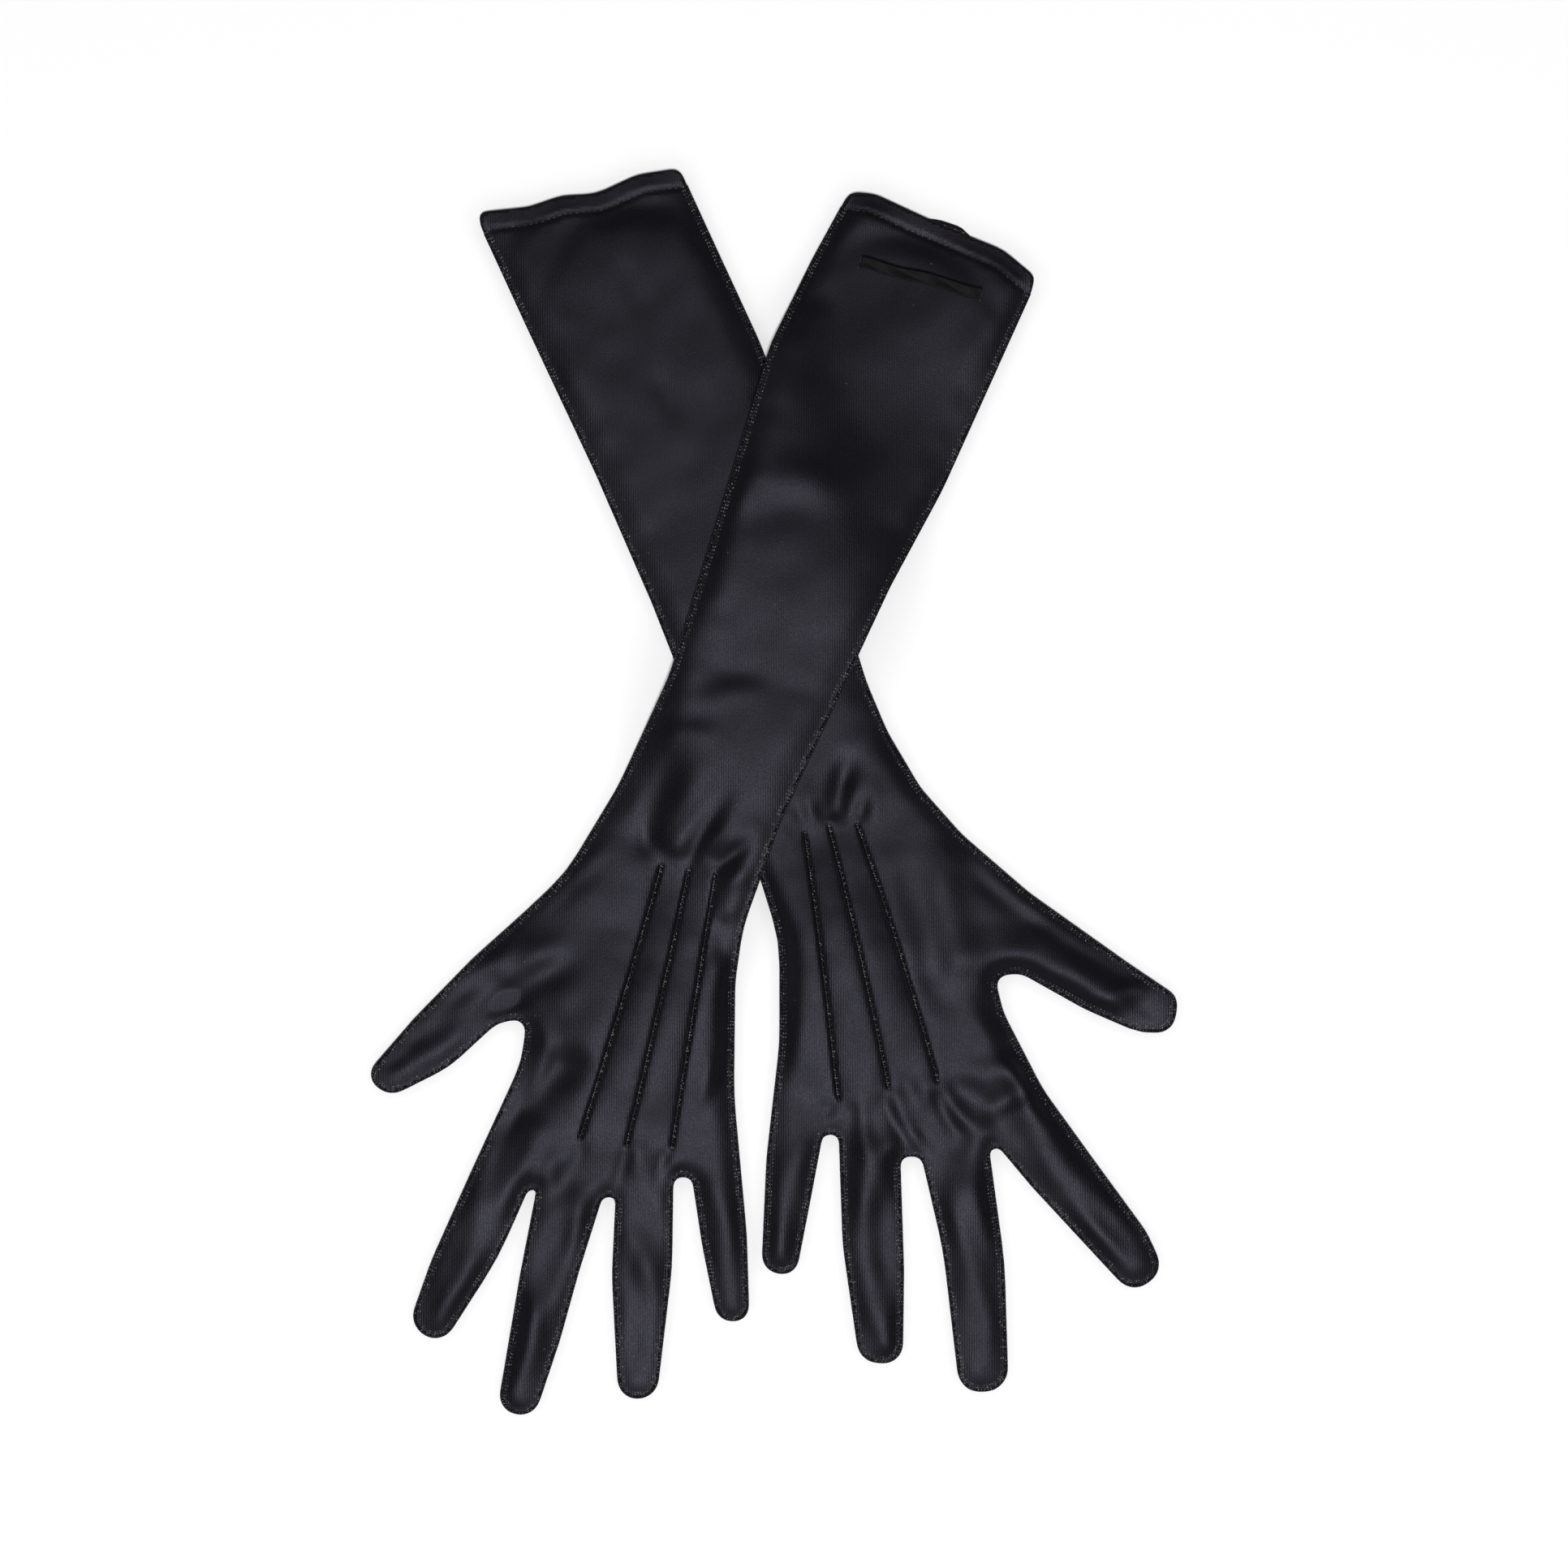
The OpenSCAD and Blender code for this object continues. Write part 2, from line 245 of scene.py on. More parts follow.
def centreline(node):
    """The middle line of a long thin node that runs down the hand, from its top to its low end."""
    bm = merged(node)
    co = np.array([v.co[:2] for v in bm.verts])
    bm.free()
    levels = np.linspace(co[:, 1].max(), co[:, 1].min(), 9)
    line = []
    for high, low in zip(levels[:-1], levels[1:]):
        band = co[(co[:, 1] <= high + 1 * MM) & (co[:, 1] >= low - 1 * MM)]
        if len(band):
            line.append(band.mean(axis=0))
    top = co[co[:, 1] > levels[0] - 0.8 * MM].mean(axis=0)
    end = co[co[:, 1] < levels[-1] + 0.8 * MM].mean(axis=0)
    return np.array([top] + line[1:-1] + [end])


# ------------ one glove's plan
class Glove:
    """Where one glove's edges, points, forks and tips lie, all read from the frame."""

    def __init__(self, side):
        self.side = side
        self.body = f"{side}_glove"
        self.loop = smooth_edge(f"{side}_back_panel", 1, CELL)
        self.palm_loop = smooth_edge(f"{side}_palm_panel", -1, PALM_CELL)
        self.points = {p: even(centreline(f"{side}_point_{p}"), CELL) for p in POINTS}
        forks = [part.mean(axis=0) for part in islands(f"{side}_fork_tacks")]
        forks.sort(key=lambda p: p[0], reverse=side == "right")
        self.forks = forks
        self.tips = self.find_tips()
        under = merged(f"{side}_palm_panel")
        self.under = BVHTree.FromBMesh(under)
        under.free()
        self.anchors = {f"{p}_top": line[0] for p, line in self.points.items()}
        self.anchors |= {f"{p}_low": line[-1] for p, line in self.points.items()}
        self.anchors |= {f"fork_{k}": f for k, f in enumerate(self.forks)}
        self.anchors |= {f"tip_{k}": t for k, t in enumerate(self.tips)}
        self.anchors["cuff"] = np.array(
            [sum(c) / 2 for c in list(zip(*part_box(f"{side}_hem_stitching")))[:2]])

    def find_tips(self):
        """Thumb, index, middle, ring and little tips: the far points between the forks."""
        at = [closest(self.loop, f) for f in self.forks]
        tips = []
        for a, b in zip(at[:-1], at[1:]):
            low, high = sorted((a, b))
            arc = self.loop[low:high]
            away = np.linalg.norm(arc - self.loop[a], axis=1)
            away += np.linalg.norm(arc - self.loop[b], axis=1)
            tips.append(arc[int(np.argmax(away))])
        outward = {"left": -1, "right": 1}[self.side]
        thumb = self.loop[np.argmax(self.loop[:, 0] * outward)]
        low_side = self.loop[self.loop[:, 1] < self.forks[-1][1] - 30 * MM]
        far_side = low_side[outward * (low_side[:, 0] - self.forks[-1][0]) < 0]
        little = far_side[int(np.argmin(far_side[:, 1]))]
        return [thumb, *tips, little]

    def at(self, anchor, dx=0.0, dy=0.0):
        """A point dx, dy millimetres from a named place on the glove."""
        return self.anchors[anchor] + np.array([dx, dy]) * MM

    def lift(self, xy):
        """How high the left glove's underside lies over the other: read from its palm panel on
        a coarse grid, then blurred, because cloth bridges the step in a long soft slope."""
        if self.side == "right":
            return np.zeros(len(xy))
        low, high = self.loop.min(axis=0) - 5 * LIFT_CELL, self.loop.max(axis=0) + 5 * LIFT_CELL
        xs, ys = (np.arange(a, b, LIFT_CELL) for a, b in zip(low, high))
        grid = np.zeros((len(xs), len(ys)))
        for i, x in enumerate(xs):
            for j, y in enumerate(ys):
                hit = self.under.ray_cast(Vector((x, y, -0.01)), Vector((0, 0, 1)))[0]
                if hit is None:
                    hit = self.under.find_nearest(Vector((x, y, 0)))[0]
                grid[i, j] = hit.z
        for _ in range(LIFT_BLUR):
            for axis in (0, 1):
                edge = np.pad(grid, [(1, 1) if a == axis else (0, 0) for a in (0, 1)], "edge")
                before, after = (edge[:-2], edge[2:]) if axis == 0 else (edge[:, :-2], edge[:, 2:])
                grid = 0.5 * grid + 0.25 * (before + after)
        u = np.clip((xy - low) / LIFT_CELL, 0, [len(xs) - 1.001, len(ys) - 1.001])
        i, j = u.astype(int).T
        a, b = (u - u.astype(int)).T
        return LIFT_SHARE * ((grid[i, j] * (1 - a) + grid[i + 1, j] * a) * (1 - b)
                             + (grid[i, j + 1] * (1 - a) + grid[i + 1, j + 1] * a) * b)


# ------------ flat cloth meshes
def cloth_grid(loop, cell, rows=(), clear=0.62):
    """Even triangles that fill the loop, with corners on its rim and on the rows."""
    rows = [np.asarray(r) for r in rows]
    low, high = loop.min(axis=0), loop.max(axis=0)
    rise = cell * math.sqrt(3) / 2
    grid = []
    for j, y in enumerate(np.arange(low[1], high[1], rise)):
        xs = np.arange(low[0] + (j % 2) * cell / 2, high[0], cell)
        grid.append(np.stack((xs, np.full(len(xs), y)), 1))
    grid = np.vstack(grid)
    grid = grid[inside(grid, loop)]
    grid = grid[nearest(grid, loop) > clear * cell]
    for row in rows:
        grid = grid[nearest(grid, row) > clear * cell]
    fixed = np.vstack([loop, *rows]) if rows else loop
    points = np.vstack((fixed, grid))
    rim = [(k, (k + 1) % len(loop)) for k in range(len(loop))]
    made = delaunay_2d_cdt([Vector(p) for p in points], rim, [], 1, 1e-7)
    return np.array([v[:] for v in made[0]]), [tuple(f) for f in made[2]]


def nearest(xy, spots):
    """Distance from each point to the closest of the spots."""
    best = np.full(len(xy), np.inf)
    for chunk in np.array_split(spots, max(1, len(spots) // 60)):
        d = np.hypot(xy[:, None, 0] - chunk[None, :, 0], xy[:, None, 1] - chunk[None, :, 1])
        best = np.minimum(best, d.min(axis=1))
    return best


def mesh_object(name, verts, faces):
    """A new smooth-shaded object in the scene."""
    mesh = bpy.data.meshes.new(name)
    mesh.from_pydata([tuple(map(float, v)) for v in verts], [], faces)
    mesh.update()
    mesh.shade_smooth()
    obj = bpy.data.objects.new(name, mesh)
    bpy.context.scene.collection.objects.link(obj)
    return obj


def apply_modifiers(obj):
    """Replaces the object's mesh by what its modifiers make of it."""
    graph = bpy.context.evaluated_depsgraph_get()
    made = bpy.data.meshes.new_from_object(obj.evaluated_get(graph))
    obj.modifiers.clear()
    obj.data = made
    return obj


# ------------ cloth height
def smooth_step(x):
    """A soft step from 0 at x = 0 to 1 at x = 1."""
    x = np.clip(x, 0, 1)
    return x * x * (3 - 2 * x)


def puffed(g, xy, s):
    """Height of empty, relaxed cloth at distance s inside its sewn edge."""
    hand = smooth_step((g.forks[2][1] + 60 * MM - xy[:, 1]) / (70 * MM))
    line = g.points["middle"]
    middle = along_path(xy, line)[0]
    down = xy[:, 1] - (0.4 * line[0][1] + 0.6 * line[-1][1])
    crown = CROWN + (FINGER_CROWN - CROWN) * hand
    crown = crown + HAND_DOME * np.exp(-(middle / HAND_DOME_WIDTH) ** 2 - (down / HAND_DOME_LENGTH) ** 2)
    puff = PUFF + (FINGER_PUFF - PUFF) * hand
    rise = np.clip((s - FLANGE) / puff, 0, 1)
    dome = 1 - (1 - rise) ** 2
    flange = FLANGE_RISE * np.clip(s / FLANGE, 0, 1)
    return RIM + flange + (crown - RIM - FLANGE_RISE) * dome


def wander(xy, size, seed, stretch=(1.0, 1.0), turn=0.0):
    """Soft random hills from -1 to 1, size metres across, longer along one direction."""
    c, s = math.cos(turn), math.sin(turn)
    u = (xy[:, 0] * c + xy[:, 1] * s) / (size * stretch[0])
    v = (-xy[:, 0] * s + xy[:, 1] * c) / (size * stretch[1])
    return np.array([noise.noise(Vector((a, b, seed))) for a, b in zip(u, v)])


def bend_through(points, step=1.5 * MM):
    """A smooth open curve through or near a few points."""
    return even(corner_cut(np.array(points), 3, False), step)


def fold(xy, path, height, width, start=0.15, end=0.5, lean=0.0):
    """A ridge (or, with a negative height, a valley) along the path.
    It fades in over its first share of the way and out over its last, and a lean sets the
    opposite beside it, on its left."""
    d, t, side = along_path(xy, path)
    length = np.linalg.norm(np.diff(path, axis=0), axis=1).sum()
    least = 1.4 * width / length
    fade = smooth_step(t / max(start, least)) * smooth_step((1 - t) / max(end, least))
    across = d * side / width
    body = np.exp(-(across**2))
    if lean:
        body = body - lean * np.exp(-((across - 1.7) ** 2))
    return height * body * fade


# ------------ the folds of each glove
# A fold: (named spot on the glove, steps in mm from there to the places it runs through,
# height mm, width mm, share over which it fades in, share over which it fades out, lean).
LEFT_FOLDS = [
    # the arm's cloth swells towards the gathers, beside a long hollow
    ("index_top", [(3.4, 1), (4.5, 15), (11, 30), (17, 44)], 1.0, 6.0, 0.2, 0.4, 0.9),
    # gathers that fan out above the points
    ("index_top", [(4.5, 3.5), (10, 15), (18, 25), (25, 35)], 0.6, 2.2, 0.1, 0.5, 0),
    ("middle_top", [(0.3, 0.6), (1.5, 7), (8, 17), (14, 26)], -1.2, 2.0, 0.05, 0.7, 0),
    ("middle_top", [(5.5, 5), (12, 14), (18, 25), (21, 34)], 0.9, 2.6, 0.2, 0.5, 0),
    ("middle_top", [(6.5, 1.7), (11, 7), (15.5, 14)], -0.8, 1.5, 0.2, 0.5, 0),
    ("little_top", [(0.6, 4.5), (6, 15), (9.5, 26)], 0.7, 2.2, 0.2, 0.6, 0),
    ("little_top", [(-0.5, 0.3), (4, 5), (10.5, 10.5), (18.5, 16)], -1.7, 2.2, 0.03, 0.6, 0),
    ("little_top", [(1, -4.5), (6, -3.5), (14, 2.5)], 0.8, 3.0, 0.3, 0.4, 0),
    # soft swells higher on the arm
    ("index_top", [(-2, 48), (8, 52), (24, 50)], 0.6, 4.0, 0.3, 0.4, 0.6),
    ("index_top", [(14, 60), (26, 68), (44, 68)], 0.5, 4.5, 0.3, 0.4, 0.6),
    # hollow and roll beside the little finger's edge
    ("little_top", [(4, -13.5), (2.3, -25), (1.7, -37)], -1.5, 3.4, 0.3, 0.4, 0),
    ("little_low", [(15.8, 40), (14.7, 28), (10, 13)], 0.9, 2.6, 0.3, 0.4, 0.7),
    # the broad hollow from the middle of the hand to the index finger
    ("index_low", [(5, 37), (-7, 26), (-19, 16), (-37, 0)], -2.7, 8.5, 0.3, 0.15, 0),
    # from the low ends of the points into the fingers
    ("index_low", [(0.2, -0.5), (0.6, -5), (-3, -14)], -1.0, 1.6, 0.03, 0.6, 0),
    ("index_low", [(-8, -3), (-13, -14), (-20, -28)], 0.8, 4.0, 0.3, 0.4, 0.8),
    ("middle_low", [(0, -0.6), (-1, -6), (-4, -16), (-9, -30)], -1.2, 1.9, 0.03, 0.6, 0),
    ("middle_low", [(5, 2), (4, -8), (3, -17)], 0.7, 2.2, 0.2, 0.5, 0),
    ("little_low", [(-1, 0), (-4, -7), (-6, -14), (-8, -28)], -1.3, 2.3, 0.05, 0.6, 0),
    ("little_low", [(1, -2), (0, -8), (-2, -18)], 0.7, 1.6, 0.1, 0.5, 0),
    # round the crotch of the thumb, and along the thumb
    ("fork_0", [(-8, 8), (-1, 7), (5.4, 0), (6.5, -8), (3, -19), (-6, -34)], 1.1, 3.0, 0.15, 0.3, 0),
    ("fork_0", [(18, 36), (-1, 27), (-17, 15), (-33, 0)], 1.3, 5.2, 0.3, 0.3, 1.0),
    ("tip_0", [(11, 8), (3, 1)], -0.9, 1.2, 0.2, 0.3, 0),
    ("tip_0", [(20, 19), (11, 11)], -1.0, 2.4, 0.3, 0.3, 0),
    ("tip_0", [(16, 4), (5, 0)], 0.6, 2.0, 0.3, 0.3, 0),
    ("index_top", [(-19, 11), (-36, -4.5), (-52, -19)], 0.7, 3.0, 0.3, 0.3, 0.5),
    # the crescent where the arm bends over the other glove
    ("index_top", [(78, 139), (60, 150), (40, 151), (22, 141), (16, 130)], 0.75, 7.5, 0.35, 0.35, 0.7),
]

RIGHT_FOLDS = [
    # short gathers above the points
    ("index_top", [(0.3, 0.6), (1.7, 5.6), (2.6, 11.5)], -1.4, 1.9, 0.03, 0.5, 0),
    ("middle_top", [(0.8, 1), (3.4, 9.6), (6, 20), (9, 32)], -2.4, 4.2, 0.05, 0.5, 0),
    ("middle_top", [(-1, 1), (-3.4, 6), (-5.6, 12)], -1.1, 1.5, 0.05, 0.5, 0),
    ("little_top", [(0.2, 1.7), (-1, 6.8), (-3.4, 12.5)], -1.3, 1.6, 0.05, 0.5, 0),
    ("little_top", [(-1, 0.5), (-5, 2.3), (-9, 3.5)], -0.9, 1.5, 0.1, 0.5, 0),
    ("index_top", [(-2.6, 2), (-1.7, 11), (-0.5, 22)], 0.7, 2.0, 0.15, 0.5, 0),
    ("index_top", [(4.5, 1), (7.3, 11), (5, 22)], 0.8, 3.0, 0.15, 0.5, 0),
    ("middle_top", [(-6, 1), (-8, 9), (-8, 20)], 0.6, 1.9, 0.15, 0.5, 0),
    # the cloth stands highest beside the thumb's lower edge and falls towards the upper one
    ("fork_1", [(-22, 4), (-2, 9), (12, 12), (39, 0), (57, -9)], 2.2, 8.5, 0.25, 0.25, 0),
    # the hollow beside the index point, and the swell between it and the crotch of the thumb
    ("index_low", [(6.8, 22), (9, 41), (6, 64), (-3, 94)], 1.1, 7.0, 0.3, 0.3, 1.0),
    ("fork_1", [(-9, 4), (-9, -5), (-3, -18), (8, -34), (17, -48)], 0.9, 4.2, 0.2, 0.2, 0),
    # from the low ends of the points into the fingers
    ("index_low", [(44, -22), (30.5, -9.6), (18, 0.6), (2.3, 6)], 0.8, 5.5, 0.3, 0.2, 0.6),
    ("index_low", [(0.6, -1.5), (8, -13.5), (19, -23)], 0.9, 2.0, 0.05, 0.4, 0),
    ("index_low", [(-1, -3), (3.4, -15), (12.5, -25)], -1.3, 2.1, 0.1, 0.4, 0),
    ("middle_low", [(4, 5), (11, -3.5), (18, -16)], -1.1, 3.2, 0.2, 0.4, 0),
    ("middle_low", [(0.3, -1), (5.4, -13.5), (15.5, -26), (21, -36)], 1.1, 1.9, 0.05, 0.5, 0),
    ("middle_low", [(-1.4, -1), (3, -15), (11, -27), (16, -38)], -1.3, 2.0, 0.05, 0.5, 0),
    ("little_low", [(0, -1), (-4.5, -4.5), (-8, -10)], -1.2, 2.2, 0.1, 0.5, 0),
    ("little_low", [(4.5, 1), (4.5, -11), (6, -27)], -0.9, 2.8, 0.2, 0.5, 0),
    ("little_low", [(9, 2), (10, -12), (12, -28)], 0.8, 2.2, 0.2, 0.5, 0),
    # the thumb: a long roll near its upper edge, with a hollow below
    ("index_top", [(98, -51), (82, -40.5), (62, -27), (43, -11)], 1.0, 2.8, 0.2, 0.3, 0.8),
    ("fork_1", [(30, 14), (46, 6), (62, 1)], -0.9, 3.6, 0.3, 0.3, 0),
    ("tip_0", [(-18, 8), (-10, 2), (-6, -4)], 0.6, 2.0, 0.3, 0.3, 0),
    # soft hollows on the arm
    ("cuff", [(14, -16), (18, -30), (26, -46)], -0.35, 4.0, 0.4, 0.4, 0),
    ("cuff", [(26, -60), (32, -74), (36, -86)], -0.35, 4.0, 0.4, 0.4, 0),
    ("cuff", [(-28, -34), (-24, -48), (-18, -60)], -0.35, 3.5, 0.4, 0.4, 0),
]

FOLDS = {"left": LEFT_FOLDS, "right": RIGHT_FOLDS}


def folds_of(g, xy):
    """The height in metres that all of the glove's named folds add."""
    total = np.zeros(len(xy))
    for spot, steps, height, width, start, end, lean in FOLDS[g.side]:
        path = bend_through([g.at(spot, *step) for step in steps])
        near = (xy > path.min(axis=0) - 12 * MM).all(axis=1)
        near &= (xy < path.max(axis=0) + 12 * MM).all(axis=1)
        total[near] += fold(xy[near], path, FOLD_GAIN * height * MM, width * MM, start, end, lean)
    return total


def finger_axes(g):
    """(base, tip) of the thumb and each finger."""
    f = g.forks
    out = {"left": -1, "right": 1}[g.side]
    bases = [f[0] + np.array([-6 * out, 22]) * MM,
             (f[0] * 0.35 + f[1] * 0.65) - np.array([-9 * out, 0]) * MM,
             (f[1] + f[2]) / 2,
             (f[2] + f[3]) / 2,
             f[3] - np.array([10 * out, 0]) * MM]
    return list(zip(bases, g.tips))


def finger_creases(g, xy, s):
    """Long, irregular hollows and rolls that run down each finger."""
    total = np.zeros(len(xy))
    for k, (base, tip) in enumerate(finger_axes(g)):
        d = tip - base
        length = np.hypot(*d)
        u = ((xy - base) @ d) / length**2
        v = np.abs((xy - base) @ np.array([-d[1], d[0]])) / length
        on = (u > -0.15) & (u < 1.1) & (v < 18 * MM)
        turn = math.atan2(d[1], d[0])
        seed = 10.0 * k + (3.7 if g.side == "left" else 61.3)
        hills = wander(xy[on], 11 * MM, seed, (2.2, 1.0), turn + 0.15)
        weight = smooth_step((u[on] + 0.15) / 0.3) * smooth_step((s[on] - 1.5 * MM) / (5 * MM))
        total[on] += 2.0 * MM * hills * weight * smooth_step((18 * MM - v[on]) / (7 * MM))
    return total


def point_valleys(g, xy):
    """The narrow valley that each stitched point pulls into the cloth."""
    total = np.zeros(len(xy))
    for line in g.points.values():
        d, t, _ = along_path(xy, line)
        ends = smooth_step(t / 0.03) * smooth_step((1 - t) / 0.03)
        beyond = (t <= 0) | (t >= 1)
        depth = np.where(beyond, np.exp(-(d / (2.5 * MM)) ** 2) * 0.6, ends * 0.4 + 0.6)
        narrow = 0.85 * MM * np.exp(-(d / (0.75 * MM)) ** 2)
        wide = 0.3 * MM * np.exp(-(d / (3.2 * MM)) ** 2)
        total -= depth * (narrow + wide)
    return total


# ------------ cloth simulation
def relaxed(g):
    """What a cloth simulation adds to the height of the back cloth, as a surface to read from.
    The cloth is held along its edge and its points, is a little larger than the space between
    them, most of all near the points, and so buckles into soft folds."""
    rim = even(g.loop, SIM_CELL, True)
    lines = [even(line, SIM_CELL) for line in g.points.values()]
    xy, faces = cloth_grid(rim, SIM_CELL, lines)
    z = puffed(g, xy, along_path(xy, rim, True)[0])
    obj = mesh_object(f"{g.side}_sim", np.column_stack((xy, z)) * SIM_SCALE, faces)
    held = obj.vertex_groups.new(name="held")
    slack = obj.vertex_groups.new(name="slack")
    edge = nearest(xy, rim) < 0.3 * SIM_CELL
    for line in lines:
        edge |= nearest(xy, line) < 0.3 * SIM_CELL
    held.add([int(k) for k in np.flatnonzero(edge)], 1.0, "REPLACE")
    tops = np.array([line[0] for line in g.points.values()])
    pull = np.exp(-(nearest(xy, tops) / (16 * MM)) ** 2)
    for k, w in enumerate(pull):
        slack.add([k], float(w), "REPLACE")
    cloth = obj.modifiers.new("Cloth", "CLOTH")
    c = cloth.settings
    c.quality = 6
    c.mass = 0.2
    c.tension_stiffness = 12
    c.compression_stiffness = 12
    c.shear_stiffness = 4
    c.bending_stiffness = 0.35
    c.tension_damping = c.compression_damping = 20
    c.vertex_group_mass = "held"
    c.vertex_group_shrink = "slack"
    c.shrink_min = -0.02
    c.shrink_max = -0.07
    c.use_pressure = True
    c.uniform_pressure_force = 0.6
    c.effector_weights.gravity = 0.0
    cloth.collision_settings.use_collision = False
    scene = bpy.context.scene
    for f in range(1, SIM_FRAMES + 1):
        scene.frame_set(f)
    apply_modifiers(obj)
    co = np.array([v.co[:] for v in obj.data.vertices]) / SIM_SCALE
    moved = co[:, 2] - z
    places = np.column_stack((co[:, :2], moved)).tolist()
    bpy.data.objects.remove(obj)
    scene.frame_set(1)
    return BVHTree.FromPolygons([Vector(p) for p in places], faces)


def drop_on(tree, xy, cap):
    """The relief that the tree holds, at each point, capped."""
    out = np.zeros(len(xy))
    for k, (x, y) in enumerate(xy):
        hit = tree.ray_cast(Vector((x, y, 1.0)), Vector((0, 0, -1)))[0]
        if hit is not None:
            out[k] = hit.z
    return np.clip(out, -cap, cap)


def spread(values, faces, times):
    """The values averaged with their neighbours' a few times."""
    tri = np.array(faces)
    pairs = np.vstack((tri[:, [0, 1]], tri[:, [1, 2]], tri[:, [2, 0]]))
    a = np.concatenate((pairs[:, 0], pairs[:, 1]))
    b = np.concatenate((pairs[:, 1], pairs[:, 0]))
    count = np.bincount(a, minlength=len(values))
    for _ in range(times):
        mean = np.bincount(a, values[b], len(values)) / np.maximum(count, 1)
        values = 0.4 * values + 0.6 * mean
    return values


# ------------ panels
def finish_sheet(obj, thickness, offset):
    """Gives the sheet its thickness: all below its surface (-1), both ways (0) or above (1)."""
    solid = obj.modifiers.new("Solid", "SOLIDIFY")
    solid.thickness = thickness
    solid.offset = offset
    apply_modifiers(obj)
    obj.data.shade_smooth()
    return obj


def back_panel(g):
    """The back-of-hand panel, with its folds."""
    rows = []
    for line in g.points.values():
        n = left_normals(line)
        rows += [line + n * off * MM for off in (-1.9, -1.0, -0.45, 0, 0.45, 1.0, 1.9)]
    xy, faces = cloth_grid(g.loop, CELL, rows, 0.55)
    s = along_path(xy, g.loop, True)[0]
    lift = g.lift(xy)
    z = puffed(g, xy, along_path(xy, open_edge(g))[0])
    inner = smooth_step((s - 1.0 * MM) / (6 * MM))
    relief = spread(drop_on(relaxed(g), xy, RELIEF_CAP), faces, RELIEF_BLUR)
    z = z + RELIEF_SHARE * relief * smooth_step((s - 1.0 * MM) / (10 * MM))
    z = z + (folds_of(g, xy) + finger_creases(g, xy, s)) * inner
    z = z + 0.9 * MM * wander(xy, 26 * MM, 2.5, (1.5, 1.0), 1.2) * inner
    z = z + 0.2 * MM * wander(xy, 11 * MM, 6.5, (1.4, 1.0), 0.9) * inner
    z = spread(z, faces, SOFTEN)
    z = z + point_valleys(g, xy)
    z = z + hem_relief(g, xy, s)
    z = np.clip(z, RIM * 0.9, TALLEST)
    verts = np.column_stack((xy, z + lift))
    g.back_tree = BVHTree.FromPolygons([Vector(map(float, p)) for p in verts], faces)
    obj = mesh_object(f"{g.side}_back_cloth", verts, faces)
    return finish_sheet(obj, CLOTH, -1)


def hem_relief(g, xy, s):
    """The turned-in hem: a soft roll between the cuff's edge and its puckered stitch line."""
    d = along_path(xy, g.hem)[0]
    pucker = 0.5 + 0.5 * wander(xy, 2.6 * MM, 8.0)
    groove = -0.45 * MM * np.exp(-(d / (0.8 * MM)) ** 2)
    ripple = 0.25 * MM * (pucker - 0.5) * np.exp(-(d / (4 * MM)) ** 2)
    return (groove + ripple) * smooth_step(s / (2 * MM))


def hem_line(g):
    """The middle line of the hem's stitches on the back panel."""
    co = np.vstack(islands(f"{g.side}_hem_stitching"))
    x = np.linspace(co[:, 0].min(), co[:, 0].max(), 22)
    line = []
    for a, b in zip(x[:-1], x[1:]):
        band = co[(co[:, 0] >= a) & (co[:, 0] <= b)]
        if len(band):
            line.append(band.mean(axis=0))
    return even(corner_cut(np.array(line), 2, False), CELL)


def palm_panel(g):
    """The palm panel, flat on what lies below and turned up to the sewn edge."""
    xy, faces = cloth_grid(g.palm_loop, PALM_CELL)
    s = along_path(xy, g.palm_loop, True)[0]
    lift = g.lift(xy)
    rise = 1 - np.clip(s / (8 * MM), 0, 1)
    z = FLOOR_GAP + CLOTH + (RIM - 0.25 * MM - FLOOR_GAP - CLOTH) * rise**2
    z = z + 0.12 * MM * (1 + wander(xy, 14 * MM, 4.5)) * smooth_step(s / (6 * MM))
    obj = mesh_object(f"{g.side}_palm_cloth", np.column_stack((xy, z + lift)), faces)
    return finish_sheet(obj, CLOTH, -1)


# ------------ threads
def capsule(sides=6, rings=3):
    """A unit thread stitch along x: a little rounded bar, from -1 to 1."""
    verts = [(-1.0, 0.0, 0.0)]
    for r in range(rings):
        u = -0.72 + 1.44 * r / (rings - 1)
        fat = 1.0 if 0 < r < rings - 1 else 0.78
        for k in range(sides):
            a = 2 * math.pi * k / sides
            verts.append((u, fat * math.cos(a), fat * math.sin(a)))
    verts.append((1.0, 0.0, 0.0))
    faces = [(0, 1 + (k + 1) % sides, 1 + k) for k in range(sides)]
    for r in range(rings - 1):
        a, b = 1 + r * sides, 1 + (r + 1) * sides
        faces += [(a + k, a + (k + 1) % sides, b + (k + 1) % sides, b + k) for k in range(sides)]
    last, end = 1 + (rings - 1) * sides, 1 + rings * sides
    faces += [(last + k, last + (k + 1) % sides, end) for k in range(sides)]
    return np.array(verts), faces


STITCH = capsule()


